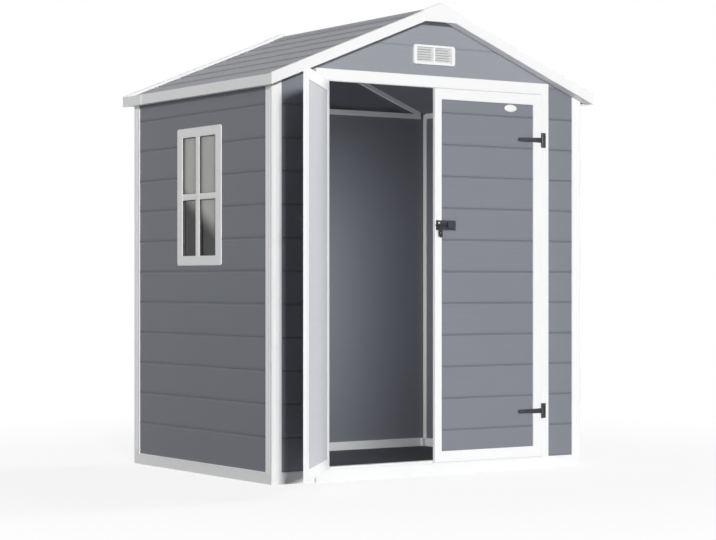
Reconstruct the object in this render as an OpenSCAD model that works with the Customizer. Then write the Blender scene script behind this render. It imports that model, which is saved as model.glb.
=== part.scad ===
// Plastic garden shed with a pitched roof and a pair of outward-opening doors.
// Frame: origin at the centre of the footprint on the ground, +X to the right
// seen from the front, +Y to the back, +Z up. All sizes in millimetres.

/* [Body] */
// Width over the corner posts
body_w = 1766; // [1500:1:2400]
// Depth over the corner posts
body_d = 1300; // [1100:1:2400]
// Height of the base rails
base_h = 53; // [40:1:80]
// Width of a base rail, outside to inside
base_t = 34; // [30:1:50]
// Thickness of the floor panels
floor_t = 10; // [6:1:25]
// Seam between two floor panels
floor_seam = 1; // [0.5:0.5:3]
// Length of each leg of a corner post
post_leg = 52; // [44:1:75]
// Thickness of the skin of a corner post
post_skin = 4; // [3:1:6]

/* [Walls] */
// Thickness of a wall panel
wall_t = 20; // [16:1:30]
// Height from one board line to the next
board_pitch = 147.5; // [110:0.5:180]
// Height of the hidden lower edge of the first board
board_start = 58; // [55:1:90]
// Depth of the groove between two boards
groove_d = 4.5; // [2:0.5:5]
// Height of the board line in a gable, above the underside of the lintel
gable_line = 186; // [120:1:240]
// Boards in each stacked wall panel
panel_boards = 4; // [3:1:5]
// Overlap of two stacked wall panels on the inside
panel_lap = 45; // [20:1:60]
// Height of the light rail along the top of a wall, seen from inside
rail_h = 26; // [15:1:40]
// Thickness of that rail
rail_t = 10; // [6:1:20]

/* [Doorway] */
// Width of the doorway between the jambs
door_w = 1248; // [1000:1:1320]
// Height of the underside of the lintel above the ground
door_top = 1798; // [1600:1:2200]
// Width of a jamb, seen from the front
jamb_w = 40; // [30:1:60]
// Height of the lintel
lintel_h = 50; // [40:1:80]
// How far the door frame stands in front of the corner posts
frame_proud = 23; // [0:1:35]
// Height of the threshold above the base rail
sill_h = 12; // [6:1:20]
// Gap between a closed leaf and the threshold behind it
sill_gap = 6; // [2:1:8]

/* [Doors] */
// Thickness of a door leaf
leaf_t = 15; // [12:1:24]
// Gap between a leaf and the jamb, lintel or base rail
leaf_gap = 5; // [4:0.5:10]
// Gap between the two closed leaves
meet_gap = 6; // [5:0.5:12]
// How far the meeting line lies to the left of the middle
meet_shift = 15; // [0:1:30]
// Width of the stile where the leaves meet
meet_stile = 39; // [30:1:60]
// Width of the stile at the hinges
hinge_stile = 48; // [40:1:70]
// Height of the top and bottom rails of a leaf
leaf_rail = 50; // [35:1:70]
// Width of the inner border beside the meeting line
inner_meet = 55; // [45:1:80]
// Width of the inner border beside the hinges
inner_hinge = 34; // [28:1:60]
// Thickness of the boarded panel in a leaf
leaf_panel_t = 8; // [7:0.5:9]
// How far that panel lies behind the outer face of the leaf
panel_recess = 4.5; // [3:0.5:5.5]
// How far the left leaf stands open
left_open = 132; // [0:0.5:150]

/* [Hinges] */
// Height of the lower hinge
hinge_low = 276; // [200:1:500]
// Distance of the upper hinge below the lintel
hinge_drop = 223; // [120:1:400]
// Height of a hinge plate
plate_h = 71; // [50:1:100]
// Width of a hinge plate on the jamb
plate_w = 18; // [14:1:24]
// Length of a hinge strap from the pin
strap_l = 142; // [90:1:200]
// Height of a strap at the pin
strap_h = 24; // [18:1:30]
// Height of a strap at its round tip
strap_tip = 17; // [10:1:24]
// Thickness of the hinge metal
hinge_metal = 2.5; // [1.5:0.5:4]
// Radius of a hinge knuckle
knuckle_r = 5; // [4:0.5:7]
// Radius of a hinge pin
pin_r = 2.5; // [1.5:0.5:3]
// Clearance between a pin and its knuckle
pin_gap = 0.3; // [0.2:0.1:0.5]

/* [Latch] */
// Height of the bolt
latch_z = 1158; // [900:1:1300]
// Length of the latch plate
latch_l = 113; // [100:1:140]
// Height of the latch plate
latch_h = 45; // [35:1:60]
// Radius of the bolt
bolt_r = 4; // [3:0.5:5]
// How far the bolt slides
bolt_travel = 28; // [20:1:30]
// Clearance round the bolt
bolt_gap = 0.4; // [0.3:0.1:1]

/* [Window] */
// Width of the window frame
win_w = 424; // [300:1:500]
// Height of the window frame
win_h = 647; // [400:1:700]
// Height of the lower edge of the window frame
win_z = 971; // [800:1:1050]
// Width of the side members of the frame
win_side = 56; // [40:1:70]
// Height of the top and bottom members of the frame
win_rail = 45; // [30:1:60]
// Width of the upright glazing bar
bar_w = 36; // [20:1:45]
// Height of the level glazing bar
bar_h = 31; // [20:1:40]
// How far the frame stands proud of the boards
win_proud = 4; // [3:1:12]
// Thickness of the pane
pane_t = 3; // [2:0.5:5]

/* [Vents] */
// Width of a gable vent
vent_w = 235; // [160:1:300]
// Height of a gable vent
vent_h = 90; // [70:1:110]
// Width of the border at the ends of a vent
vent_border = 18; // [12:1:24]
// Height of the border above and below its slats
vent_rail = 10; // [8:1:20]
// Slats in each half of a vent
vent_slats = 6; // [4:1:8]

/* [Roof] */
// Slope of the roof in degrees
roof_pitch = 22; // [16:0.5:30]
// Height of the roof surface over the side walls' outer faces, above the underside of the lintel
eave_rise = 12; // [0:1:60]
// Thickness of a roof panel
roof_t = 20; // [15:1:30]
// Width of a roof plank along the slope
plank_pitch = 141; // [110:1:180]
// Distance of the first plank's lower edge from the ridge
plank_start = 78; // [66:1:110]
// How far a plank's lower edge stands over the next plank
plank_step = 6; // [2:0.5:8]
// Overhang past the side walls
eave_over = 33; // [30:1:80]
// Overhang past the front and back walls
verge_over = 56; // [45:1:80]
// Thickness of the fascia and barge boards
fascia_t = 8; // [6:1:14]
// Height of the eave fascia
fascia_h = 48; // [40:1:70]
// How far the fascia stands above the roof surface
fascia_rise = 11; // [4:1:20]
// How far a barge board stands above the roof surface
barge_rise = 14; // [8:1:25]
// How far a barge board hangs below the roof surface
barge_drop = 37; // [30:1:60]
// Half the width of the cap at the apex
apex_half = 108; // [80:1:150]
// Length of a ridge cap leg down the slope
ridge_leg = 60; // [40:1:90]
// Thickness of the ridge cap
ridge_t = 3; // [2:0.5:5]

/* [Hidden] */
$fn = 48;

white = "#f4f5f6";
grey = "#8a8d96";
roof_grey = "#9b9da6";
dark = "#45464b";
black = "#2c2d2b";
clear = "#a9b0ac";

half_w = body_w / 2;
half_d = body_d / 2;
face_in = post_skin;                      // boards lie this far behind the posts' faces
wall_in = face_in + wall_t;               // inner face of a wall
post_core = wall_in + post_skin;          // wall panels start here inside a post
seam_low = board_start + panel_boards * board_pitch;
seam_high = board_start + 2 * panel_boards * board_pitch;
wall_top = door_top;                      // walls end and gables start level with the lintel
eave_h = wall_top + eave_rise;
tail = 0.01;                              // cutters run this far past a face

slope = tan(roof_pitch);
roof_drop = roof_t / cos(roof_pitch);     // thickness of the roof measured straight down
ridge_z = eave_h + half_w * slope;
eave_x = half_w + eave_over;
verge_y = half_d + verge_over;
barge_skin = 4;                           // soffit and lip of the barge boards
lip_d = 15;                               // how far the barge lip reaches over the roof

function roof_z(x) = ridge_z - abs(x) * slope;
function under_z(x) = roof_z(x) - roof_drop;
seat_gap = 0.05;                          // sloping faces that meet lie this far apart

// Heights of the board lines between two heights
function lines(z0, z1, pitch, start) =
    [for (n = [-20:40]) if (start + n * pitch > z0 + 30 && start + n * pitch < z1 - 30) start + n * pitch];

// Edges of two boards at the line between them, as [depth, height]: the lower board's eased top,
// then the upper board's edge, which curves under
top_edge = [[0, -10], [0.8, -4.5], [groove_d, -2]];
under_edge = [[groove_d, 1.5], [2, 3], [0.8, 8], [0, 16]];
function line_points(z) = [for (p = concat(top_edge, under_edge)) p + [0, z]];

// Outer face of a boarded panel from z0 up to z1; an end that is itself a line is left cut back
function board_face(z0, z1, inner, low_line, high_line) = concat(
    low_line ? concat([[groove_d, z0]], [for (p = under_edge) p + [0, z0]]) : [[0, z0]],
    [for (z = inner) each line_points(z)],
    high_line ? concat([for (p = top_edge) p + [0, z1]], [[groove_d, z1]]) : [[0, z1]]);

// Outline in X and Z, drawn through from y0 to y1
module xz_prism(points, y0, y1) {
    translate([0, y1, 0]) rotate([90, 0, 0]) linear_extrude(y1 - y0) polygon(points);
}

// Outline in Y and Z, drawn through from x0 to x1
module yz_prism(points, x0, x1) {
    translate([x0, 0, 0]) rotate([90, 0, 90]) linear_extrude(x1 - x0) polygon(points);
}

module box(x0, x1, y0, y1, z0, z1) {
    translate([x0, y0, z0]) cube([x1 - x0, y1 - y0, z1 - z0]);
}

// Rectangle with round corners, centred, lying in X and Z with its face towards -Y
module round_plate(w, h, r, t) {
    rotate([90, 0, 0]) translate([0, 0, -t]) linear_extrude(t) union() {
        square([w - 2 * r, h], center = true);
        square([w, h - 2 * r], center = true);
        for (x = [-1, 1], y = [-1, 1]) translate([x * (w / 2 - r), y * (h / 2 - r)]) circle(r);
    }
}

// Everything that lies under the roof panels
module under_roof() {
    reach = eave_x + 100;
    side = under_z(reach) - seat_gap;
    xz_prism([[-reach, -10], [-reach, side], [0, under_z(0) - seat_gap], [reach, side], [reach, -10]],
        -verge_y - 100, verge_y + 100);
}

// Boarded panel whose outer face looks towards -Y at y = 0.
// lap_low and lap_high are the overlaps with the panels below and above it.
module boarded(len, z0, z1, t, low_line = false, high_line = false, lap_low = 0, lap_high = 0, start = board_start) {
    face = board_face(z0, z1, lines(z0, z1, board_pitch, start), low_line, high_line);
    half = t / 2;
    yz_prism(concat(face,
        lap_high > 0 ? [[half, z1], [half, z1 - lap_high], [t, z1 - lap_high]] : [[t, z1]],
        lap_low > 0 ? [[t, z0 - lap_low], [half, z0 - lap_low], [half, z0]] : [[t, z0]]), 0, len);
}

// One of the three stacked panels of a full wall: level 0 is the lowest
module stacked(len, level, top) {
    if (level == 0) boarded(len, base_h, seam_low, wall_t, high_line = true, lap_high = panel_lap);
    if (level == 1) boarded(len, seam_low, seam_high, wall_t, low_line = true, high_line = true,
        lap_low = panel_lap, lap_high = panel_lap);
    if (level == 2) boarded(len, seam_high, top, wall_t, low_line = true, lap_low = panel_lap);
}

// ---- base and floor ----

module long_rail(len, proud = 0) {
    bevel = 3;
    yz_prism([[-proud, 0], [-proud, base_h - bevel], [bevel - proud, base_h], [base_t, base_h], [base_t, 0]],
        -len / 2, len / 2);
}

module base_front_rail() color(white) {
    translate([0, -half_d, 0]) union() {
        long_rail(body_w - 2 * post_leg);
        long_rail(2 * frame_x, frame_proud);
        box(-door_w / 2, door_w / 2, leaf_t + sill_gap - frame_proud, base_t, base_h - 1, base_h + sill_h);
    }
}

module base_back_rail() color(white)
    translate([0, half_d, 0]) rotate([0, 0, 180]) long_rail(body_w - 2 * post_leg);

module base_left_rail() color(white)
    translate([-half_w, 0, 0]) rotate([0, 0, -90]) long_rail(body_d - 2 * post_leg);

module base_right_rail() color(white)
    translate([half_w, 0, 0]) rotate([0, 0, 90]) long_rail(body_d - 2 * post_leg);

module floor_panels() color(dark) {
    in_w = half_w - base_t;
    in_d = half_d - base_t;
    foot_w = half_w - post_leg;
    foot_d = half_d - post_leg;
    third = 2 * in_w / 3;
    difference() {
        box(-in_w, in_w, -in_d, in_d, 0, floor_t);
        for (x = [-1, 1], y = [-1, 1]) scale([x, y, 1]) box(foot_w, in_w + 1, foot_d, in_d + 1, -1, floor_t + 1);
        for (x = [-1, 1]) translate([x * third / 2 - floor_seam / 2, -in_d - 1, -1])
            cube([floor_seam, 2 * in_d + 2, floor_t + 2]);
    }
}

// ---- corner posts ----

// Section of a post with its corner at the origin: fluted outer legs, a solid core,
// and an inner leg that holds the end of the side wall
module post_section() {
    flute = 5;
    difference() {
        union() {
            square([post_leg, post_skin]);
            square([post_skin, post_leg]);
            square(post_core);
            translate([wall_in, 0]) square([post_skin, post_leg]);
        }
        for (f = [1, 2]) {
            translate([f * post_leg / 3, 0]) rotate(45) square(flute / 2, center = true);
            translate([0, f * post_leg / 3]) rotate(45) square(flute / 2, center = true);
        }
    }
}

module post() {
    linear_extrude(ridge_z) post_section();
    cube([post_leg, post_leg, base_h]);
}

module front_posts() color(white) intersection() {
    union() for (x = [0, 1]) mirror([x, 0, 0]) translate([-half_w, -half_d, 0]) post();
    under_roof();
}

module back_posts() color(white) intersection() {
    union() for (x = [0, 1]) mirror([x, 0, 0]) mirror([0, 1, 0]) translate([-half_w, -half_d, 0]) post();
    under_roof();
}

// ---- walls ----

// Height where a side wall ends under the light rail
side_top = wall_top - rail_h + 3;

module left_wall(level) color(grey) difference() {
    translate([-half_w + face_in, half_d - post_core, 0]) rotate([0, 0, -90])
        stacked(body_d - 2 * post_core, level, side_top);
    window_hole();
}

module right_wall(level) color(grey)
    translate([half_w - face_in, -half_d + post_core, 0]) rotate([0, 0, 90])
        stacked(body_d - 2 * post_core, level, side_top);

module back_wall(level) color(grey) intersection() {
    translate([half_w - post_core, half_d - face_in, 0]) rotate([0, 0, 180])
        stacked(body_w - 2 * post_core, level, wall_top);
    under_roof();
}

module left_wall_lower() left_wall(0);
module left_wall_middle() left_wall(1);
module left_wall_upper() left_wall(2);
module right_wall_lower() right_wall(0);
module right_wall_middle() right_wall(1);
module right_wall_upper() right_wall(2);
module back_wall_lower() back_wall(0);
module back_wall_middle() back_wall(1);
module back_wall_upper() back_wall(2);

seat = 8;                                 // panels and gables slot this deep into jambs and lintel
frame_x = door_w / 2 + jamb_w;            // outer edge of a jamb
frame_y0 = -half_d - frame_proud;         // outer face of jambs, lintel and leaves
gable_low = wall_top + lintel_h - seat;   // the front panels end and the front gable starts here
frame_d = base_t;                         // jambs and lintel reach this far in behind the posts' faces

module side_panel() intersection() {
    translate([-half_w + post_core, -half_d + face_in, 0])
        boarded(half_w - post_core - frame_x + seat, base_h, gable_low, wall_t);
    under_roof();
}

module front_left_panel() color(grey) side_panel();
module front_right_panel() color(grey) mirror([1, 0, 0]) side_panel();

module door_jambs() color(white) for (x = [0, 1]) mirror([x, 0, 0]) difference() {
    box(-frame_x, -door_w / 2, frame_y0, -half_d + frame_d, base_h, wall_top);
    box(-frame_x - 1, -frame_x + seat, -half_d + face_in, -half_d + wall_in, base_h - 1, wall_top + 1);
}

module lintel() color(white) difference() {
    box(-frame_x, frame_x, frame_y0, -half_d + frame_d, wall_top, wall_top + lintel_h);
    box(-frame_x - 1, frame_x + 1, -half_d + face_in, -half_d + wall_in, gable_low, wall_top + lintel_h + 1);
    for (x = [0, 1]) mirror([x, 0, 0])
        box(-frame_x - 1, -frame_x + seat, -half_d + face_in, -half_d + wall_in, wall_top - 1, wall_top + lintel_h);
}

// ---- gables ----

vent_mid = wall_top + lintel_h + 99;      // centre height of a vent

module gable_boards(low) intersection() {
    translate([-half_w + post_core, -half_d + face_in, 0])
        boarded(body_w - 2 * post_core, low, ridge_z, wall_t, start = wall_top + gable_line);
    under_roof();
}

module vent_hole() translate([0, 0, vent_mid])
    cube([vent_w - 2 * vent_border + 4, 2 * body_d, vent_h - 2 * vent_rail + 4], center = true);

module front_gable() color(grey) difference() {
    gable_boards(gable_low);
    vent_hole();
}

module back_gable() color(grey) mirror([0, 1, 0]) difference() {
    gable_boards(wall_top);
    vent_hole();
}

// Vent with a proud rounded border, a middle post and two columns of sloping slats.
// Its border lies on boards whose face is at y = 0.
module vent() {
    proud = 10;
    in_w = vent_w - 2 * vent_border;
    in_h = vent_h - 2 * vent_rail;
    post = 9;
    slat_t = 2;
    slat_gap = in_h / vent_slats;
    difference() {
        union() {
            translate([0, -proud, 0]) round_plate(vent_w, vent_h, 11, proud);
            translate([0, wall_t / 2 - 1, 0]) cube([in_w + 4, wall_t + 2, in_h + 4], center = true);
        }
        cube([in_w, 4 * wall_t, in_h], center = true);
    }
    translate([0, (wall_t - proud) / 2 + 1, 0]) cube([post, wall_t + proud - 4, in_h + 1], center = true);
    for (n = [0:vent_slats - 1])
        translate([0, 3, -in_h / 2 + (n + 0.5) * slat_gap]) rotate([-38, 0, 0])
            cube([in_w + 2, 12, slat_t], center = true);
}

module front_vent() color(white) translate([0, -half_d + face_in, vent_mid]) vent();
module back_vent() color(white) mirror([0, 1, 0]) translate([0, -half_d + face_in, vent_mid]) vent();

// ---- window in the left wall ----

win_lap = 18;                             // the frame covers the wall this far round the hole
win_mid = win_z + win_h / 2;
pane_in = 8;                              // the pane lies this far behind the boards' face
pane_seat = 8;                            // and slots this deep into the frame

module window_hole() translate([-half_w + face_in, 0, win_mid])
    cube([3 * wall_t, win_w - 2 * win_lap, win_h - 2 * win_lap], center = true);

module window_place() translate([-half_w + face_in, 0, win_mid]) rotate([0, 0, -90]) children();

module window_frame() color(white) window_place() {
    in_w = win_w - 2 * win_side;
    in_h = win_h - 2 * win_rail;
    inner_t = 5;
    difference() {
        union() {
            translate([0, -win_proud, 0]) round_plate(win_w, win_h, 14, win_proud);
            translate([0, wall_t / 2, 0]) cube([win_w - 2 * win_lap, wall_t + 1, win_h - 2 * win_lap], center = true);
            translate([0, wall_t, 0]) round_plate(win_w, win_h, 14, inner_t);
        }
        cube([in_w, 6 * wall_t, in_h], center = true);
        translate([0, pane_in + pane_t / 2, 0])
            cube([in_w + 2 * pane_seat, pane_t, in_h + 2 * pane_seat], center = true);
    }
    bar_t = pane_in + win_proud - 3;
    translate([0, pane_in - bar_t / 2, 0]) {
        cube([bar_w, bar_t, in_h + 2], center = true);
        cube([in_w + 2, bar_t, bar_h], center = true);
    }
}

module window_pane() color(clear, 0.4) window_place() translate([0, pane_in + pane_t / 2, 0])
    cube([win_w - 2 * win_side + 2 * pane_seat, pane_t, win_h - 2 * win_rail + 2 * pane_seat], center = true);

// ---- rails inside ----

module wall_top_rails() color(white) {
    rail_low = side_top;
    for (x = [0, 1]) mirror([x, 0, 0]) intersection() {
        box(-half_w + face_in, -half_w + wall_in + rail_t, -half_d + post_leg, half_d - post_leg, rail_low, ridge_z);
        under_roof();
    }
    box(-half_w + post_leg, half_w - post_leg, half_d - wall_in - rail_t, half_d - wall_in, rail_low, rail_low + rail_h);
}

// Light rails up the inside of both gables, under the roof
module gable_rails() color(white) {
    rafter_h = 24;
    inner_y = -half_d + max(frame_d, wall_in + rail_t) + 1;
    x0 = -half_w + post_leg;
    x1 = -ridge_beam_w / 2;
    for (x = [0, 1], y = [0, 1]) mirror([x, 0, 0]) mirror([0, y, 0]) difference() {
        xz_prism([[x0, under_z(x0) - rafter_h], [x0, under_z(x0) - seat_gap], [x1, under_z(x1) - seat_gap],
            [x1, under_z(x1) - rafter_h]], -half_d + wall_in, -half_d + wall_in + rail_t);
        if (y == 0) box(-frame_x, frame_x, -half_d, inner_y, wall_top - rail_h, wall_top + lintel_h);
        if (y == 1) box(-half_w, half_w, -half_d, inner_y, wall_top - 3 * rail_h, side_top + rail_h);
    }
}

ridge_beam_w = 30;

module ridge_beam() color(grey) {
    beam_h = 42;
    h = ridge_beam_w / 2;
    y = half_d - wall_in;
    low = under_z(0) - beam_h;
    xz_prism([[-h, low], [-h, under_z(h) - seat_gap], [0, under_z(0) - seat_gap], [h, under_z(h) - seat_gap], [h, low]],
        -y, y);
}

// ---- roof ----

// Point of the left slope, a distance down it from the ridge and a depth under its surface
function slope_point(down, depth) = [-down * cos(roof_pitch) + depth * sin(roof_pitch),
    ridge_z - down * sin(roof_pitch) - depth * cos(roof_pitch)];

// Lapped planks: each starts under its upper neighbour's lower edge and rises to stand over the next one
module roof_panel() {
    x0 = -eave_x + fascia_t;
    run = -x0 / cos(roof_pitch);
    edges = [for (n = [ceil((run - plank_start) / plank_pitch) - 1:-1:0]) plank_start + n * plank_pitch];
    xz_prism(concat([slope_point(run, 0)],
        [for (down = edges) each [slope_point(down, plank_step), slope_point(down, 1.5), slope_point(down - 2, 0)]],
        [[0, ridge_z], [0, under_z(0)], [x0, under_z(x0)]]),
        -verge_y + fascia_t, verge_y - fascia_t);
}

module roof_left() color(roof_grey) roof_panel();
module roof_right() color(roof_grey) mirror([1, 0, 0]) roof_panel();

module ridge_cap() color(roof_grey) {
    x = ridge_leg * cos(roof_pitch);
    low = roof_z(x) + seat_gap;
    t = ridge_t / cos(roof_pitch);
    y = verge_y - fascia_t - lip_d;
    xz_prism([[-x, low], [-x, low + t], [0, ridge_z + seat_gap + t], [x, low + t], [x, low], [0, ridge_z + seat_gap]],
        -y, y);
}

fascia_top = roof_z(eave_x) + fascia_rise;
fascia_low = fascia_top - fascia_h;

// Fascia board under the roof's edge with a soffit strip back to the wall
module eave_fascias() color(white) for (x = [0, 1]) mirror([x, 0, 0]) {
    y = verge_y - fascia_t;
    box(-eave_x, -eave_x + fascia_t, -y, y, fascia_low, fascia_top);
    box(-eave_x + fascia_t - 1, -half_w, -half_d, half_d, fascia_low, fascia_low + barge_skin);
}

// Sloping strip between two heights measured from the roof surface
module slope_strip(x0, x1, low, high, y0, y1)
    xz_prism([[x0, roof_z(x0) + low], [x0, roof_z(x0) + high], [x1, roof_z(x1) + high], [x1, roof_z(x1) + low]], y0, y1);

// Barge boards of one gable: a face, a lip over the roof's edge and a soffit strip back to the wall
module barge_boards() for (x = [0, 1]) mirror([x, 0, 0]) {
    end = -1;
    in_x = -eave_x + fascia_t;
    slope_strip(-eave_x, end, -barge_drop, barge_rise, -verge_y, -verge_y + fascia_t);
    slope_strip(in_x, end, seat_gap, barge_rise, -verge_y + fascia_t - 1, -verge_y + fascia_t + lip_d);
    slope_strip(in_x, end, -barge_drop, -barge_drop + barge_skin, -verge_y + fascia_t - 1, -half_d);
}

module front_barge_boards() color(white) barge_boards();
module back_barge_boards() color(white) mirror([0, 1, 0]) barge_boards();

// Flat-bottomed cover over the joint of the barge boards, with hollow round ends
module apex_cap() {
    skin = 4;
    top = barge_rise + 3;
    flat_z = roof_z(0) - barge_drop - 35;
    x = apex_half;
    r = 58;
    difference() {
        union() {
            xz_prism([[-x, roof_z(x) - barge_drop], [-x, roof_z(x) + top], [0, roof_z(0) + top], [x, roof_z(x) + top],
                [x, roof_z(x) - barge_drop], [x - 17, flat_z], [-x + 17, flat_z]], -verge_y - skin, -verge_y);
            xz_prism([[-x, roof_z(x) + barge_rise], [-x, roof_z(x) + top], [0, roof_z(0) + top], [x, roof_z(x) + top],
                [x, roof_z(x) + barge_rise], [0, roof_z(0) + barge_rise]], -verge_y - 1, -verge_y + fascia_t + lip_d);
        }
        for (s = [-1, 1]) translate([s * (x + r - 14), -verge_y, roof_z(x) - 12]) rotate([90, 0, 0])
            cylinder(r = r, h = 200, center = true, $fn = 96);
    }
}

module apex_caps() color(white) {
    apex_cap();
    mirror([0, 1, 0]) apex_cap();
}

// Thin covers over the four corners where fascia and barge board meet; the back ones reach further round
module corner_caps() color(white) for (x = [0, 1], y = [0, 1]) mirror([x, 0, 0]) mirror([0, y, 0]) {
    skin = 1.5;
    along_barge = 175;
    along_eave = y == 0 ? 46 : 190;
    out_x = -eave_x - skin;
    slope_strip(out_x, -eave_x + along_barge, -barge_drop, barge_rise, -verge_y - skin, -verge_y);
    box(out_x, -eave_x, -verge_y - 0.5, -verge_y + along_eave, fascia_low, fascia_top);
}

// ---- doors: the right leaf is drawn closed, the narrower left leaf mirrored and swung open ----

right_x0 = meet_gap / 2 - meet_shift;     // free edge of the right leaf
left_x0 = meet_gap / 2 + meet_shift;      // and of the left leaf, before it is mirrored
leaf_x1 = door_w / 2 - leaf_gap;
leaf_z0 = base_h + leaf_gap;
leaf_z1 = wall_top - leaf_gap;
leaf_y0 = frame_y0;
pin_x = door_w / 2 - leaf_gap / 2;        // hinge axis, midway in the gap and in front of the face
pin_y = leaf_y0 - knuckle_r - 0.5;
panel_y0 = leaf_y0 + panel_recess;
panel_seat = 10;                          // the panel slots this deep into the frame
seat_x1 = leaf_x1 - min(hinge_stile, inner_hinge) + panel_seat;

module left_leaf() translate([-pin_x, pin_y, 0]) rotate([0, 0, -left_open]) translate([pin_x, -pin_y, 0])
    mirror([1, 0, 0]) children();

// White frame of a leaf: one ring with a groove that holds the panel
module leaf_frame(x0) difference() {
    box(x0, leaf_x1, leaf_y0, leaf_y0 + leaf_t, leaf_z0, leaf_z1);
    box(x0 + meet_stile, leaf_x1 - hinge_stile, leaf_y0 - 1, panel_y0 + tail, leaf_z0 + leaf_rail, leaf_z1 - leaf_rail);
    box(x0 + inner_meet, leaf_x1 - inner_hinge, panel_y0, leaf_y0 + leaf_t + 1, leaf_z0 + leaf_rail, leaf_z1 - leaf_rail);
    box(x0 + meet_stile - panel_seat, seat_x1, panel_y0, panel_y0 + leaf_panel_t,
        leaf_z0 + leaf_rail - panel_seat, leaf_z1 - leaf_rail + panel_seat);
}

module leaf_panel(free_x) {
    x0 = free_x + meet_stile - panel_seat;
    translate([x0, panel_y0, 0])
        boarded(seat_x1 - x0, leaf_z0 + leaf_rail - panel_seat, leaf_z1 - leaf_rail + panel_seat, leaf_panel_t);
}

module right_door_frame() color(white) leaf_frame(right_x0);
module right_door_panel() color(grey) leaf_panel(right_x0);
module left_door_frame() color(white) left_leaf() leaf_frame(left_x0);
module left_door_panel() color(grey) left_leaf() leaf_panel(left_x0);

// ---- T-hinges ----

hinge_heights = [hinge_low, door_top - hinge_drop];
knuckle_split = strap_h / 2 + 1;          // the strap's knuckle ends here, measured from the middle

// Plate on the right jamb with an upper and a lower knuckle and the pin
module hinge_plate(z) translate([pin_x, pin_y, z]) {
    face_y = leaf_y0 - pin_y;
    for (s = [0, 1]) mirror([0, 0, s]) {
        translate([0, 0, knuckle_split]) cylinder(r = knuckle_r, h = plate_h / 2 - knuckle_split);
        translate([0.5, 0, knuckle_split]) cube([knuckle_r + 1, face_y, plate_h / 2 - knuckle_split]);
    }
    translate([knuckle_r + 1, face_y - hinge_metal, -plate_h / 2]) cube([plate_w, hinge_metal, plate_h]);
    translate([0, 0, -plate_h / 2]) cylinder(r = pin_r, h = plate_h);
}

// Tapered strap on the leaf with the middle knuckle
module hinge_strap(z) translate([pin_x, pin_y, z]) {
    face_y = leaf_y0 - pin_y;
    tip_x = -strap_l + strap_tip / 2;
    difference() {
        union() {
            xz_prism([[-leaf_gap / 2, -strap_h / 2], [-leaf_gap / 2, strap_h / 2], [tip_x, strap_tip / 2],
                [tip_x, -strap_tip / 2]], face_y - hinge_metal, face_y);
            translate([tip_x, face_y, 0]) rotate([90, 0, 0]) cylinder(d = strap_tip, h = hinge_metal);
            translate([0, 0, -strap_h / 2]) cylinder(r = knuckle_r, h = strap_h);
            translate([-leaf_gap / 2 - 2, 0, -strap_h / 2]) cube([leaf_gap / 2 + 1.5, face_y, strap_h]);
        }
        cylinder(r = pin_r + pin_gap, h = 2 * strap_h, center = true);
    }
}

module hinge_plates() color(black) for (x = [0, 1], z = hinge_heights) mirror([x, 0, 0]) hinge_plate(z);
module right_hinge_straps() color(black) for (z = hinge_heights) hinge_strap(z);
module left_hinge_straps() color(black) left_leaf() for (z = hinge_heights) hinge_strap(z);

// ---- latch: plate and bolt on the right leaf, keeper on the left leaf ----

latch_x = right_x0 + 6;                   // near end of the latch plate
latch_metal = 2;
bolt_y = leaf_y0 - latch_metal - bolt_r - 2;
housing_x = latch_x + 60;                 // the bolt runs in a housing from here to housing_end
housing_end = latch_x + 100;

// Plate with an open window above the bolt, a slotted lip at its free end and the housing
module latch_plate() color(black) {
    end = latch_x + latch_l;
    difference() {
        union() {
            box(latch_x, end, leaf_y0 - latch_metal, leaf_y0, latch_z - latch_h / 2, latch_z + latch_h / 2);
            box(housing_x, housing_end, bolt_y - bolt_r - 3, leaf_y0 - latch_metal + tail,
                latch_z - bolt_r - 8, latch_z + bolt_r + 8);
            box(latch_x, latch_x + 6, bolt_y - bolt_r, leaf_y0 - latch_metal + tail,
                latch_z - latch_h / 2, latch_z + latch_h / 2);
        }
        translate([housing_x - 5, bolt_y, latch_z]) rotate([0, 90, 0])
            cylinder(r = bolt_r + bolt_gap, h = housing_end - housing_x + 10);
        box(latch_x + 8, housing_x - 1, leaf_y0 - latch_metal - 1, leaf_y0 + 1,
            latch_z + bolt_r + 1, latch_z + latch_h / 2 - 8);
        box(latch_x - 1, latch_x + 7, bolt_y - bolt_r - 1, bolt_y + bolt_r + bolt_gap,
            latch_z - bolt_r - bolt_gap, latch_z + bolt_r + bolt_gap);
    }
}

// Round bolt with a pointed nose and a flat tab that hangs in front for a padlock
module latch_bolt() color(black) {
    nose = 4;
    tip = right_x0 - 1;
    end = housing_end + 2;
    tab_w = 20;
    tab_x = latch_x + 6;
    tab_t = 3;
    tab_y = bolt_y - bolt_r - 6;
    tab_low = latch_z - 56;
    translate([tip + nose, bolt_y, latch_z]) rotate([0, 90, 0]) cylinder(r = bolt_r, h = end - tip - nose);
    translate([tip, bolt_y, latch_z]) rotate([0, 90, 0]) cylinder(r1 = 2, r2 = bolt_r, h = nose);
    box(tab_x + 6, tab_x + tab_w - 6, tab_y + tab_t - 1, bolt_y - bolt_r / 2, latch_z - bolt_r, latch_z + bolt_r);
    difference() {
        xz_prism([[tab_x, latch_z + bolt_r + 2], [tab_x + tab_w, latch_z + bolt_r + 2], [tab_x + tab_w, tab_low],
            [tab_x + 8, tab_low], [tab_x, tab_low + 9]], tab_y, tab_y + tab_t);
        translate([tab_x + tab_w / 2, tab_y, tab_low + 20]) rotate([90, 0, 0]) cylinder(r = 4, h = 20, center = true);
    }
}

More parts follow.
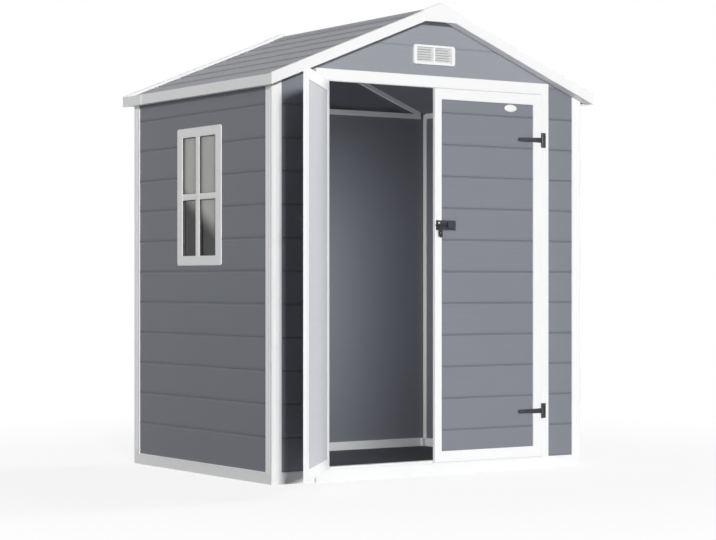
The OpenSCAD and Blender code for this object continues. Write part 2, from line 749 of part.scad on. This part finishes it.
module latch_keeper() color(black) left_leaf() {
    near = left_x0 + 8;
    keeper_h = 40;
    difference() {
        union() {
            box(near, near + 32, leaf_y0 - latch_metal, leaf_y0, latch_z - keeper_h / 2, latch_z + keeper_h / 2);
            box(near + 8, near + 24, bolt_y - bolt_r - 3, leaf_y0 - latch_metal + tail,
                latch_z - bolt_r - 4, latch_z + bolt_r + 4);
        }
        translate([near + 16, bolt_y, latch_z]) rotate([0, 90, 0])
            cylinder(r = bolt_r + 2 * bolt_gap, h = 40, center = true);
    }
}

base_front_rail();
base_back_rail();
base_left_rail();
base_right_rail();
floor_panels();
front_posts();
back_posts();
left_wall_lower();
left_wall_middle();
left_wall_upper();
right_wall_lower();
right_wall_middle();
right_wall_upper();
back_wall_lower();
back_wall_middle();
back_wall_upper();
front_left_panel();
front_right_panel();
door_jambs();
lintel();
front_gable();
back_gable();
front_vent();
back_vent();
window_frame();
window_pane();
wall_top_rails();
gable_rails();
ridge_beam();
roof_left();
roof_right();
ridge_cap();
eave_fascias();
front_barge_boards();
back_barge_boards();
apex_caps();
corner_caps();
left_door_frame();
left_door_panel();
right_door_frame();
right_door_panel();
hinge_plates();
left_hinge_straps();
right_hinge_straps();
latch_plate();
latch_bolt();
latch_keeper();
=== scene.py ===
import math

import bpy
import numpy as np
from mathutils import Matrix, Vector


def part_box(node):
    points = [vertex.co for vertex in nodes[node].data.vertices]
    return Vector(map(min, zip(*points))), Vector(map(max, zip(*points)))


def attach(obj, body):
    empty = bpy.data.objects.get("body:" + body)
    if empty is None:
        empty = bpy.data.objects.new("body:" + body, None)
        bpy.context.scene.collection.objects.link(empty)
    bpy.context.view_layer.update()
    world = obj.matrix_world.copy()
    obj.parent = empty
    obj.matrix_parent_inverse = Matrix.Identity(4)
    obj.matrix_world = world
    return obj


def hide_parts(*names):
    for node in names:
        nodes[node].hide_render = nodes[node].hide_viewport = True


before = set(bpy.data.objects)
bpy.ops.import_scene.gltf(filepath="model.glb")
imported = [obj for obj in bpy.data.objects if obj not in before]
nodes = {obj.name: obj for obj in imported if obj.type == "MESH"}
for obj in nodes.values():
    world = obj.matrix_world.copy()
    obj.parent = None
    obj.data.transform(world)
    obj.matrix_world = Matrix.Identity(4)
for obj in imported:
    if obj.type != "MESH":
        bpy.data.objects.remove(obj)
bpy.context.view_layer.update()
leafTurn = -132.0                              # the left leaf's turn from shut, in degrees about +Z
print("frame loaded:", len(nodes), "nodes")


# sRGB hex to linear light: the low part is a straight line, the rest a power of 2.4
def linearColor(hexColor):
    value = np.array([int(hexColor[i:i + 2], 16) for i in (0, 2, 4)]) / 255
    linear = np.where(value <= 0.04045, value / 12.92, ((value + 0.055) / 1.055) ** 2.4)
    return (*linear.tolist(), 1.0)


# one shader node with its settings; an input is a plain value, or (node, output) for a link
def addNode(tree, kind, settings=None, inputs=None):
    node = tree.nodes.new("ShaderNode" + kind)
    for name, value in (settings or {}).items():
        setattr(node, name, value)
    for name, value in (inputs or {}).items():
        if isinstance(value, tuple) and isinstance(value[0], bpy.types.Node):
            tree.links.new(value[0].outputs[value[1]], node.inputs[name])
        else:
            node.inputs[name].default_value = value
    return node


def newTree(name):
    material = bpy.data.materials.new(name)
    material.use_nodes = True
    material.node_tree.nodes.clear()
    return material, material.node_tree


def turnedVector(vector, degrees):
    # plain turn about Z
    a = math.radians(degrees)
    x, y, z = vector
    return (x * math.cos(a) - y * math.sin(a), x * math.sin(a) + y * math.cos(a), z)


# a noise's middle span (0.3 to 0.7) stretched to the range low to high
def spread(tree, noise, low, high):
    return addNode(tree, "MapRange", {}, {
        "Value": (noise, "Fac"), "From Min": 0.3, "From Max": 0.7, "To Min": low, "To Max": high})


# Painted shade in each groove: the groove lies at Z = lapStart + n lapPitch, where the colour is multiplied by the
# groove tone (below 1 a painted shade line, above 1 a painted light line); over lapBlend metres from it the tone goes
# back to 1
def paintedGrooveShade(tree, place, look, color):
    way = addNode(tree, "SeparateXYZ", {}, {"Vector": (place, "Object")})
    height = addNode(tree, "Math", {"operation": "SUBTRACT"}, {0: (way, "Z"), 1: look["lapStart"]})
    away = addNode(tree, "Math", {"operation": "PINGPONG"}, {0: (height, "Value"), 1: look["lapPitch"] / 2})
    lap = addNode(tree, "MapRange", {"interpolation_type": "SMOOTHSTEP"}, {
        "Value": (away, "Value"), "From Min": look["lapBlend"][0], "From Max": look["lapBlend"][1],
        "To Min": look["paintedGrooveTone"], "To Max": 1.0})
    return addNode(tree, "VectorMath", {"operation": "SCALE"}, {0: color[:3], "Scale": (lap, "Result")})


# Moulded resin: base colour shifted by a slow mottle and by streaks that run along the board,
# with the same streaks as bump and a fine spark-eroded speckle as bump and roughness
def mouldedResin(name, look, turn=0, inward=None):
    material, tree = newTree(name)
    place = addNode(tree, "TexCoord")
    sizes = [s / 1000 for s in look["grainMm"]]
    along = addNode(tree, "Mapping", {"vector_type": "TEXTURE"}, {
        "Vector": (place, "Object"), "Rotation": (0, 0, math.radians(turn)), "Scale": sizes})
    grain = addNode(tree, "TexNoise", {}, {
        "Vector": (along, "Vector"), "Scale": 1.0, "Detail": 3.0, "Roughness": 0.55})
    mottle, speckle = [addNode(tree, "TexNoise", {}, {
        "Vector": (place, "Object"), "Scale": 1000 / size, "Detail": detail})
        for size, detail in ((look["mottleMm"], 2.0), (look["speckleMm"], 1.0))]
    grainPart = spread(tree, grain, 1 - look["grainTone"], 1 + look["grainTone"])
    tone = spread(tree, mottle, 1 - look["mottleTone"], 1 + look["mottleTone"])
    shift = addNode(tree, "Math", {"operation": "MULTIPLY"}, {0: (grainPart, "Result"), 1: (tone, "Result")})
    base = linearColor(look["hex"])
    if inward is None:
        baseOut = base[:3]
    else:
        side = addNode(tree, "VectorMath", {"operation": "DOT_PRODUCT"}, {0: (place, "Normal"), 1: inward})
        inside = addNode(tree, "Math", {"operation": "GREATER_THAN"}, {0: (side, "Value"), 1: 0.6})
        # outside faces get the painted groove shade
        outside = (paintedGrooveShade(tree, place, look, base), "Vector") if look["paintedGrooveTone"] else base
        bothSides = addNode(tree, "Mix", {"data_type": "RGBA"}, {
            0: (inside, "Value"), 6: outside, 7: linearColor(look["insideHex"])})
        baseOut = (bothSides, 2)
    color = addNode(tree, "VectorMath", {"operation": "SCALE"}, {0: baseOut, "Scale": (shift, "Value")})
    gloss = spread(tree, speckle, look["roughness"] - look["glossSpread"], look["roughness"] + look["glossSpread"])
    grainBump = addNode(tree, "Bump", {}, {
        "Height": (grain, "Fac"), "Strength": look["grainBump"], "Distance": look["grainDeep"]})
    bump = addNode(tree, "Bump", {}, {
        "Height": (speckle, "Fac"), "Strength": look["speckleBump"], "Distance": look["speckleDeep"],
        "Normal": (grainBump, "Normal")})
    shader = addNode(tree, "BsdfPrincipled", {}, {
        "Base Color": (color, "Vector"), "Roughness": (gloss, "Result"), "Normal": (bump, "Normal"),
        "IOR": look["ior"]})
    addNode(tree, "OutputMaterial", {}, {"Surface": (shader, "BSDF")})
    return material


# White trim: injection-moulded polypropylene, fine satin, so its edges stay crisp and its faces even
trimLook = {"hex": "f4f4f4", "grainMm": (300, 300, 300), "mottleMm": 500, "speckleMm": 2.0, "grainTone": 0.004,
            "mottleTone": 0.006, "grainBump": 0.0, "grainDeep": 0.001, "speckleBump": 0.1, "speckleDeep": 0.0005,
            "roughness": 0.42, "glossSpread": 0.05, "ior": 1.49, "paintedGrooveTone": None}
# Wall and door boards: blow-moulded polyethylene, matt, with a shallow wood grain along each board; the groove
# tone multiplies the colour in the groove under each lap, a painted shade line
boardLook = dict(trimLook, hex="7f8189", insideHex="7c7f87", grainMm=(260, 40, 7), mottleMm=420, speckleMm=2.5,
                 grainTone=0.02, mottleTone=0.015, grainBump=0.25, speckleBump=0.15, roughness=0.55, ior=1.5,
                 paintedGrooveTone=0.86, lapStart=0.058, lapPitch=0.1475, lapBlend=(0.002, 0.0055))
# Gables: the same boards, moulded paler, with no painted groove shade
gableLook = dict(boardLook, hex="96989f", paintedGrooveTone=None)
# Roof planks: the same resin, paler still and a little rougher, so they stay matt under a low light; their underside is
# painted much darker as painted shade
roofLook = dict(gableLook, hex="a6a7ad", insideHex="6d6f75", grainMm=(260, 7, 7), roughness=0.6)
# Floor panels: dark moulded resin with a rough non-slip face
floorLook = dict(gableLook, hex="3f4045", grainMm=(30, 30, 30), speckleMm=4, speckleBump=0.4, roughness=0.7)
# Ridge beam: rolled steel with a grey powder coat
beamLook = dict(trimLook, hex="8c8e94", roughness=0.5)
# Hinge plates and bolt: pressed steel with a black powder coat, an even orange-peel satin
blackLook = dict(trimLook, hex="242524", speckleMm=1.5, speckleBump=0.25, roughness=0.38)
# Hinge straps and latch plate: the same coat, glossier, so their edges catch the light; their greyer colour is a
# painted sheen
strapSheenLook = dict(blackLook, hex="36383d", roughness=0.34)

# directions into the shed, and the pale inner skins of the doors
inwardWay = {"front": (0, 1, 0), "back": (0, -1, 0), "left": (1, 0, 0), "right": (-1, 0, 0), "under": (0, 0, -1)}
# Left wall: the board colour darkened as painted shade, and a groove tone above 1 that paints light into the grooves
leftWallPaintedLook = dict(boardLook, hex="787b81", paintedGrooveTone=1.06)
rightDoorLook = dict(boardLook, insideHex="c6c8cc")
# Open leaf: its inner skin is a darker copy of the right door's pale inner plastic, painted shade
openLeafShadedLook = dict(boardLook, insideHex="bfc1c5")


def dress(material, *names):
    for name in names:
        for slot in nodes[name].material_slots:
            slot.material = material


def wallNames(side):
    return [side + "_wall_" + level for level in ("lower", "middle", "upper")]


dress(mouldedResin("BlowMouldedBoardsLeft", leftWallPaintedLook, 90, inwardWay["left"]), *wallNames("left"))
dress(mouldedResin("BlowMouldedBoardsRight", boardLook, 90, inwardWay["right"]), *wallNames("right"))
dress(mouldedResin("BlowMouldedBoardsBack", boardLook, 0, inwardWay["back"]), *wallNames("back"))
dress(mouldedResin("BlowMouldedBoardsFront", boardLook, 0, inwardWay["front"]), "front_left_panel", "front_right_panel")
dress(mouldedResin("BlowMouldedBoardsDoor", rightDoorLook, 0, inwardWay["front"]), "right_door_panel")
dress(mouldedResin("BlowMouldedBoardsOpenLeaf", openLeafShadedLook, leafTurn, turnedVector(inwardWay["front"], leafTurn)),
      "left_door_panel")
dress(mouldedResin("BlowMouldedGableFront", gableLook, 0, inwardWay["front"]), "front_gable")
dress(mouldedResin("BlowMouldedGableBack", gableLook, 0, inwardWay["back"]), "back_gable")
dress(mouldedResin("BlowMouldedRoofPlanks", roofLook, 90, inwardWay["under"]), "roof_left", "roof_right", "ridge_cap")
dress(mouldedResin("InjectionMouldedWhiteTrim", trimLook),
      "base_front_rail", "base_back_rail", "base_left_rail", "base_right_rail", "front_posts", "back_posts",
      "door_jambs", "lintel", "front_vent", "back_vent", "window_frame", "wall_top_rails", "gable_rails",
      "eave_fascias", "front_barge_boards", "back_barge_boards", "apex_caps", "corner_caps",
      "left_door_frame", "right_door_frame")
dress(mouldedResin("MouldedFloorResin", floorLook), "floor_panels")
dress(mouldedResin("PowderCoatedBeamSteel", beamLook), "ridge_beam")
dress(mouldedResin("PowderCoatedBlackSteel", blackLook), "hinge_plates", "latch_bolt", "latch_keeper")
dress(mouldedResin("PowderCoatedStrapSteel", strapSheenLook), "left_hinge_straps", "right_hinge_straps", "latch_plate")


# Window pane: cast acrylic sheet with fine upright lines; above a slanting edge it is painted pale as a painted
# reflection, below it dark as painted shade, with 35% of the light passing straight through below and 10% above
paneLook = {"paleReflectionHex": "bcbcb7", "darkShadeHex": "20211f", "lineMm": 9, "lineTone": 0.06, "edgeAt": (0.02, 1.218),
            "edgeSlope": 0.58, "edgeSoft": 0.12, "roughness": 0.15, "glossSpread": 0.04, "ior": 1.49,
            "through": (0.35, 0.1), "tint": (0.95, 0.96, 0.95, 1)}


# above = Z - edge height - slope (Y - edge place); the painted reflection's share goes from 0 to 1 as it crosses zero
def acrylicPane(name, look):
    material, tree = newTree(name)
    place = addNode(tree, "TexCoord")
    way = addNode(tree, "SeparateXYZ", {}, {"Vector": (place, "Object")})
    rise = addNode(tree, "Math", {"operation": "MULTIPLY_ADD"}, {
        0: (way, "Y"), 1: -look["edgeSlope"], 2: look["edgeSlope"] * look["edgeAt"][0] - look["edgeAt"][1]})
    above = addNode(tree, "Math", {"operation": "ADD"}, {0: (way, "Z"), 1: (rise, "Value")})
    paleReflectionShare = addNode(tree, "MapRange", {"interpolation_type": "SMOOTHSTEP"}, {
        "Value": (above, "Value"), "From Min": -look["edgeSoft"] / 2, "From Max": look["edgeSoft"] / 2})
    stretched = addNode(tree, "Mapping", {"vector_type": "TEXTURE"}, {
        "Vector": (place, "Object"), "Scale": (1, look["lineMm"] / 1000, 2)})
    lines = addNode(tree, "TexNoise", {}, {"Vector": (stretched, "Vector"), "Scale": 1.0, "Detail": 2.0})
    tone = spread(tree, lines, 1 - look["lineTone"], 1 + look["lineTone"])
    mixed = addNode(tree, "Mix", {"data_type": "RGBA"}, {
        0: (paleReflectionShare, "Result"), 6: linearColor(look["darkShadeHex"]), 7: linearColor(look["paleReflectionHex"])})
    color = addNode(tree, "VectorMath", {"operation": "SCALE"}, {0: (mixed, 2), "Scale": (tone, "Result")})
    gloss = addNode(tree, "MapRange", {}, {
        "Value": (lines, "Fac"), "To Min": look["roughness"] - look["glossSpread"],
        "To Max": look["roughness"] + look["glossSpread"]})
    sheet = addNode(tree, "BsdfPrincipled", {}, {
        "Base Color": (color, "Vector"), "Roughness": (gloss, "Result"), "IOR": look["ior"]})
    through = addNode(tree, "BsdfTransparent", {}, {"Color": look["tint"]})
    part = addNode(tree, "MapRange", {}, {
        "Value": (paleReflectionShare, "Result"), "To Min": look["through"][0], "To Max": look["through"][1]})
    both = addNode(tree, "MixShader", {}, {0: (part, "Result"), 1: (sheet, "BSDF"), 2: (through, "BSDF")})
    addNode(tree, "OutputMaterial", {}, {"Surface": (both, "Shader")})
    return material


dress(acrylicPane("CastAcrylicPane", paneLook), "window_pane")
print("materials set")


# Rings of points become closed tubes: rings[piece, i, j] joins to ring i + 1 and to point j + 1. Each end is
# closed by one flat face, or with loop set the last ring joins the first.
def skinRings(name, rings, material, body, loop=False, smooth=40):
    pieces, count, points, _ = rings.shape
    i, j = np.meshgrid(np.arange(count if loop else count - 1), np.arange(points), indexing="ij")
    nextI, nextJ = (i + 1) % count, (j + 1) % points
    quads = np.stack([i * points + j, i * points + nextJ, nextI * points + nextJ, nextI * points + j], -1)
    start = np.arange(pieces)[:, None, None] * count * points
    faces = (start + quads.reshape(-1, 4)).reshape(-1, 4).tolist()
    if not loop:
        first = np.arange(points)
        ends = np.stack([first[::-1], (count - 1) * points + first])
        faces += (start + ends).reshape(-1, points).tolist()
    mesh = bpy.data.meshes.new(name)
    mesh.from_pydata(rings.reshape(-1, 3).tolist(), [], faces)
    mesh.shade_smooth()
    mesh.set_sharp_from_angle(angle=math.radians(smooth))
    mesh.materials.append(material)
    piece = bpy.data.objects.new(name, mesh)
    bpy.context.scene.collection.objects.link(piece)
    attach(piece, body)
    return piece


# Rounded box section: a circle of radius r at each corner of a rectangle, quarter by quarter, counterclockwise
def roundedSection(width, height, r, steps=4):
    quarter = np.linspace(0, math.pi / 2, steps + 1)
    angle = (quarter[None, :] + np.arange(4)[:, None] * math.pi / 2).reshape(-1)
    sign = np.repeat(np.array([[1, 1], [-1, 1], [-1, -1], [1, -1]]), steps + 1, axis=0)
    corner = sign * [width / 2 - r, height / 2 - r]
    return corner + r * np.stack([np.cos(angle), np.sin(angle)], -1)


# Door seals: soft white strips in the gaps round the two leaves, a rounded section carried along each side
sealSettings = {"thick": 0.0036, "deep": 0.007, "behind": 0.002, "round": 0.0012, "jambWide": 0.040}


def doorSeals(look):
    jambs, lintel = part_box("door_jambs"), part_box("lintel")
    face = jambs[0][1] + look["behind"] + look["deep"] / 2
    half = jambs[1][0] - look["jambWide"]
    top, low = lintel[0][2], jambs[0][2]
    t = look["thick"]
    section = roundedSection(t, look["deep"], look["round"])

    # upright strips: section in X and Y, carried up
    def upright(x):
        ring = np.stack([x + section[:, 0], face + section[:, 1], np.zeros(len(section))], -1)
        return np.stack([ring + [0, 0, low], ring + [0, 0, top - t]])

    # level strips: section in Z and Y, carried along X
    def level(z):
        ring = np.stack([np.zeros(len(section)), face + section[:, 1], z - section[:, 0]], -1)
        return np.stack([ring - [half, 0, 0], ring + [half, 0, 0]])

    return np.stack([upright(-half + t / 2), upright(half - t / 2), level(top - t / 2), level(low + t / 2)])


sealWhite = mouldedResin("SoftVinylSealStrip", dict(trimLook, roughness=0.5))
skinRings("door_seals", doorSeals(sealSettings), sealWhite, "shed")


# Window frame: nested outlines joined front to back round the wall's edge, with two rounded bars across.
# The middle bar stands a little towards the back, so the two columns of lights differ in width.
windowSettings = {"corner": 0.012, "edge": 0.0016, "lap": 0.018, "lightCorner": 0.004, "barBack": 0.0012,
                  "barShort": 0.001, "levelDeeper": 0.0005, "barTuck": 0.002, "hair": 0.0002,
                  "columns": ((-0.1515, 0.000), (0.036, 0.1625)), "rows": ((1.0165, 1.2795), (1.3085, 1.574)),
                  "liningThick": 0.0014, "liningBack": 0.0035, "shrinkFront": 0.007}
# dark colour of the linings: painted shade standing in for the shaded reveal round each light
liningShadeLook = dict(trimLook, hex="484a46", grainMm=(40, 40, 40), mottleMm=60, speckleMm=1.5, grainTone=0.03,
                  mottleTone=0.04, speckleBump=0.15, roughness=0.6, ior=1.5)


# a rounded rectangle in Y and Z at each given X; every one has the same number of points, so they join
def outlines(low, high, insets, depths, r):
    flat = [roundedSection(high[0] - low[0] - 2 * d, high[1] - low[1] - 2 * d, max(r - d, 0.001)) for d in insets]
    middle = (np.array(low) + high) / 2
    return np.stack([np.column_stack([np.full(len(f), x), f + middle]) for f, x in zip(flat, depths)], 1)


# the section runs down the outside (front lip, step onto the wall, core, inner lip) and back up the lights' side
def windowFrame(look):
    low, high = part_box("window_frame")
    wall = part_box("left_wall_middle")
    face, back = low[0], high[0]
    edge, lap = look["edge"], look["lap"]
    outer = outlines((low[1] + look["shrinkFront"], low[2]), (high[1], high[2]), [edge, 0, 0, lap, lap, 0, 0],
                     [face, face + edge, wall[0][0], wall[0][0], wall[1][0], wall[1][0], back], look["corner"])
    (y0, _), (_, y1) = look["columns"]
    (z0, _), (_, z1) = look["rows"]
    inner = outlines((y0, z0), (y1, z1), [0, 0, -edge], [back, face + edge, face], look["lightCorner"])
    return np.concatenate([outer, inner], 1)[None, :, ::-1]


# bars: a rounded section in X and one crosswise direction, carried along the other; the level one a hair deeper
def windowBars(look):
    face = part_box("window_frame")[0][0] + look["barBack"]
    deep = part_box("window_pane")[0][0] - look["barShort"] - face
    tuck = look["barTuck"]
    (y0, ya), (yb, y1) = look["columns"]
    (z0, za), (zb, z1) = look["rows"]
    upright = roundedSection(yb - ya, deep, look["edge"])
    level = roundedSection(zb - za, deep, look["edge"])
    postX = face + deep / 2
    railX = postX + look["levelDeeper"]
    post = np.stack([np.column_stack([postX + upright[:, 1], (ya + yb) / 2 + upright[:, 0], np.full(len(upright), z)])
                     for z in (z1 + tuck, z0 - tuck)])
    rail = np.stack([np.column_stack([railX + level[:, 1], np.full(len(level), y), (za + zb) / 2 + level[:, 0]])
                     for y in (y0 - tuck, y1 + tuck)])
    return np.stack([post, rail])


# Dark lining round each of the four lights, set back from the frame's face: its dark colour is painted shade standing
# in for the shaded reveal
def windowShadeLinings(look):
    t, hair = look["liningThick"], look["hair"]
    front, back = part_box("window_frame")[0][0] + look["liningBack"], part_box("window_pane")[0][0] - hair
    return np.stack([outlines((y[0], z[0]), (y[1], z[1]), [hair, t, t, hair], [front, front, back, back],
                              look["lightCorner"]) for y in look["columns"] for z in look["rows"]])


frameWhite = nodes["window_frame"].material_slots[0].material
border = skinRings("window_border", windowFrame(windowSettings), frameWhite, "shed", loop=True)
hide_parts("window_frame")
skinRings("window_bars", windowBars(windowSettings), frameWhite, "shed")
liningShadeMaterial = mouldedResin("DarkLiningPaintedShade", liningShadeLook)
skinRings("window_shade_linings", windowShadeLinings(windowSettings), liningShadeMaterial, "shed", loop=True)
print("seals, window frame and shade_linings made")


# Turned head: rings of radius R sqrt(1 - t^2) at height h t over each place, pointing to -Y
def domedHeads(places, radius, height, rim=0.0006, turns=16, steps=5, flat=0.97):
    t = np.linspace(0, flat, steps)
    angle = np.arange(turns) * 2 * math.pi / turns
    r = np.concatenate([[1.0], np.sqrt(1 - t * t)]) * radius
    h = np.concatenate([[0.0], rim + t * height])
    ring = np.stack([r[:, None] * np.cos(angle), -h[:, None] + 0 * angle, r[:, None] * np.sin(angle)], -1)
    return np.asarray(places)[:, None, None, :] + ring[None]


# The left leaf is the right one mirrored and swung open about its hinge
def onLeftLeaf(points, pin):
    a = math.radians(leafTurn)
    x, y = -points[..., 0] + pin[0], points[..., 1] - pin[1]
    return np.stack([-pin[0] + x * math.cos(a) - y * math.sin(a), pin[1] + x * math.sin(a) + y * math.cos(a),
                     points[..., 2]], -1)


# Screws of the hinges and the latch: pan heads with a fine rim, pressed and blackened like the straps
screwSettings = {"radius": 0.0042, "height": 0.0022, "strapX": (0.020, 0.070, 0.122), "plateX": 0.015,
                 "plateZ": 0.026, "latchX": 0.1005, "latchZ": (1.1415, 1.1745)}
pinX, pinY = 0.6215, -0.6785                        # hinge axis of the right leaf
strapFace, plateFace, latchFace = -0.6755, -0.6755, -0.675
hingeZ = (0.276, 1.575)
screwSteel = mouldedResin("BlackenedScrewSteel", dict(blackLook, hex="3a3b3a", roughness=0.32))


def screwHeads(places):
    return domedHeads(places, screwSettings["radius"], screwSettings["height"])


def addScrews(name, heads, body):
    skinRings(name, heads, screwSteel, body)


strapHeads = screwHeads([(pinX - d, strapFace, z) for z in hingeZ for d in screwSettings["strapX"]])
addScrews("right_strap_screws", strapHeads, "right_door")
leftHeads = onLeftLeaf(strapHeads, (pinX, pinY))[:, :, ::-1]     # mirrored rings run the other way round
addScrews("left_strap_screws", leftHeads, "left_door")
plateX, plateZ = pinX + screwSettings["plateX"], screwSettings["plateZ"]
addScrews("plate_screws", screwHeads([(side * plateX, plateFace, z + up)
                                      for side in (-1, 1) for z in hingeZ for up in (-plateZ, plateZ)]), "shed")
addScrews("latch_screws", screwHeads([(screwSettings["latchX"], latchFace, z) for z in screwSettings["latchZ"]]),
          "right_door")

# Bolt guide: a pressed cover over the far part of the latch's window, a rounded section in Z and Y carried along X
guideSettings = {"x": (0.017, 0.056), "z": (1.1605, 1.1765), "deep": 0.0022, "round": 0.001}


def boltGuide(look):
    (x0, x1), (z0, z1) = look["x"], look["z"]
    section = roundedSection(z1 - z0, look["deep"], look["round"])
    y, z = latchFace - look["deep"] / 2 + section[:, 1], (z0 + z1) / 2 + section[:, 0]
    return np.stack([np.column_stack([np.full(len(y), x), y, z]) for x in (x1, x0)])[None]


skinRings("bolt_guide", boltGuide(guideSettings), nodes["latch_plate"].material_slots[0].material,
          "right_door")


# Blank oval badge: height over the panel = edge + T (1 - s^6) at the fraction s of the way out to the oval's edge
badgeSettings = {"centre": (0.436, 1.7205), "half": (0.0368, 0.0172), "thick": 0.003, "edge": 0.0006,
                 "middle": 0.05, "power": 6, "steps": 10, "turns": 48}


def ovalBadge(look):
    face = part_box("right_door_panel")[0][1]
    s = np.concatenate([[1.0], np.linspace(1.0, look["middle"], look["steps"])])
    h = np.concatenate([[0.0], look["thick"] * (1 - s[1:] ** look["power"]) + look["edge"]])
    angle = np.arange(look["turns"]) * 2 * math.pi / look["turns"]
    x = look["centre"][0] + look["half"][0] * s[:, None] * np.cos(angle)
    z = look["centre"][1] + look["half"][1] * s[:, None] * np.sin(angle)
    return np.stack([x, face - h[:, None] + 0 * angle, z], -1)[None]


skinRings("blank_badge", ovalBadge(badgeSettings), mouldedResin("GlossyWhiteBadge", dict(trimLook, roughness=0.3)),
          "right_door", smooth=60)
print("screws and badge made")


# Floor: a pale plane. The camera sees a mix of its lit colour and plain white; the white's share and strength go
# from their near to their far value with the distance from the origin, so the shadow stays and the edge goes
floorSettings = {"half": 60.0, "hex": "d3d4d6", "near": (1.4, 0.72), "far": (4.5, 1.0), "glow": (1.16, 1.0)}


def paleFloor(look):
    x = look["half"]
    mesh = bpy.data.meshes.new("FloorMesh")
    mesh.from_pydata([(-x, -x, 0), (x, -x, 0), (x, x, 0), (-x, x, 0)], [], [(0, 1, 2, 3)])
    floor = bpy.data.objects.new("Floor", mesh)
    bpy.context.scene.collection.objects.link(floor)
    material, tree = newTree("PaleStudioFloor")
    path = addNode(tree, "LightPath")
    place = addNode(tree, "TexCoord")
    distance = addNode(tree, "VectorMath", {"operation": "LENGTH"}, {0: (place, "Object")})
    whiter, glowing = [addNode(tree, "MapRange", {"interpolation_type": "SMOOTHSTEP"}, {
        "Value": (distance, "Value"), "From Min": look["near"][0], "From Max": look["far"][0],
        "To Min": low, "To Max": high}) for low, high in ((look["near"][1], look["far"][1]), look["glow"])]
    matt = addNode(tree, "BsdfDiffuse", {}, {"Color": linearColor(look["hex"])})
    glow = addNode(tree, "Emission", {}, {"Color": (1, 1, 1, 1), "Strength": (glowing, "Result")})
    part = addNode(tree, "Math", {"operation": "MULTIPLY"}, {0: (path, "Is Camera Ray"), 1: (whiter, "Result")})
    both = addNode(tree, "MixShader", {}, {0: (part, "Value"), 1: (matt, "BSDF"), 2: (glow, "Emission")})
    addNode(tree, "OutputMaterial", {}, {"Surface": (both, "Shader")})
    mesh.materials.append(material)


paleFloor(floorSettings)

# Light: a soft sky that is brighter behind, a low key lamp from the front left and a fill lamp from the right
lightSettings = {
    "sky": {"front": 0.15, "back": 0.55},
    "key": {"strength": 2.66, "azimuth": -21.5, "elevation": 8.5, "angle": 6},
    "softKey": {"strength": 1.75, "azimuth": -21, "elevation": 10, "angle": 32},
    "fill": {"strength": 2.2, "azimuth": 91, "elevation": 16, "angle": 16},
    "inside": {"power": 9.5, "place": (-0.5, 0.3, 0.8), "tall": 1.1, "deep": 0.12},
}


def addSun(name, look):
    # azimuth 0 stands in front of the doors, positive to the right; a sun shines along its own -Z
    sun = bpy.data.lights.new(name, "SUN")
    sun.energy = look["strength"]
    sun.angle = math.radians(look["angle"])
    lamp = bpy.data.objects.new(name, sun)
    lamp.rotation_euler = (math.radians(90 - look["elevation"]), 0, math.radians(look["azimuth"]))
    bpy.context.scene.collection.objects.link(lamp)
    return lamp


# A strip lamp stands inside by the left wall and faces the right one
def addInsideLamp(look):
    strip = bpy.data.lights.new("InsideLamp", "AREA")
    strip.shape = "RECTANGLE"
    strip.size = look["tall"]
    strip.size_y = look["deep"]
    strip.energy = look["power"]
    lamp = bpy.data.objects.new("InsideLamp", strip)
    lamp.location = look["place"]
    lamp.rotation_euler = (0, math.radians(-90), 0)
    lamp.visible_camera = lamp.visible_glossy = lamp.visible_transmission = False
    bpy.context.scene.collection.objects.link(lamp)


# A lamp either lights only the named pieces or leaves them out
def linkLamp(lamp, state, names):
    group = bpy.data.collections.new(lamp.name + "Pieces")
    for name in names:
        group.objects.link(nodes[name])
    for entry in group.collection_objects:
        entry.light_linking.link_state = state
    lamp.light_linking.receiver_collection = group


# The sky's strength goes from its front to its back value as the direction's Y goes from 0 to 1
def skyWorld(look):
    world = bpy.data.worlds.new("StudioSky")
    bpy.context.scene.world = world
    world.use_nodes = True
    tree = world.node_tree
    tree.nodes.clear()
    path = addNode(tree, "LightPath")
    seen = addNode(tree, "Math", {"operation": "MAXIMUM"}, {0: (path, "Is Camera Ray"), 1: (path, "Is Glossy Ray")})
    seen = addNode(tree, "Math", {"operation": "MAXIMUM"}, {0: (seen, "Value"), 1: (path, "Is Transmission Ray")})
    way = addNode(tree, "SeparateXYZ", {}, {"Vector": (addNode(tree, "TexCoord"), "Generated")})
    part = addNode(tree, "MapRange", {}, {
        "Value": (way, "Y"), "From Max": 1.0, "To Min": look["front"], "To Max": look["back"]})
    soft = addNode(tree, "Background", {}, {"Color": (1, 1, 1, 1), "Strength": (part, "Result")})
    white = addNode(tree, "Background", {}, {"Color": (1, 1, 1, 1), "Strength": 1.0})
    both = addNode(tree, "MixShader", {}, {0: (seen, "Value"), 1: (soft, "Background"), 2: (white, "Background")})
    addNode(tree, "OutputWorld", {}, {"Surface": (both, "Shader")})


skyWorld(lightSettings["sky"])
# What the doorway shows of the inside gets the key's light through a broad diffuser, so it fades without an edge
insideNames = ["back_wall_lower", "back_wall_middle", "back_wall_upper",
               "right_wall_lower", "right_wall_middle", "right_wall_upper",
               "base_back_rail", "base_right_rail", "floor_panels", "gable_rails", "wall_top_rails", "ridge_beam"]
linkLamp(addSun("KeyLamp", lightSettings["key"]), "EXCLUDE", insideNames)
linkLamp(addSun("SoftKeyLamp", lightSettings["softKey"]), "INCLUDE", insideNames)
addSun("FillLamp", lightSettings["fill"])
addInsideLamp(lightSettings["inside"])
print("floor and light set")

cameraSettings = {"place": (-5.477, -8.192, 0.890), "heading": -33.816, "lens": 100.83, "shiftY": 0.018}


def addCamera(look):
    lensData = bpy.data.cameras.new("Camera")
    lensData.sensor_width = 36
    lensData.lens = look["lens"]
    lensData.shift_y = look["shiftY"]
    camera = bpy.data.objects.new("Camera", lensData)
    camera.location = look["place"]
    camera.rotation_euler = (math.radians(90), 0, math.radians(look["heading"]))
    bpy.context.scene.collection.objects.link(camera)
    bpy.context.scene.camera = camera


addCamera(cameraSettings)
bpy.context.scene.view_settings.view_transform = "Standard"
print("camera set")
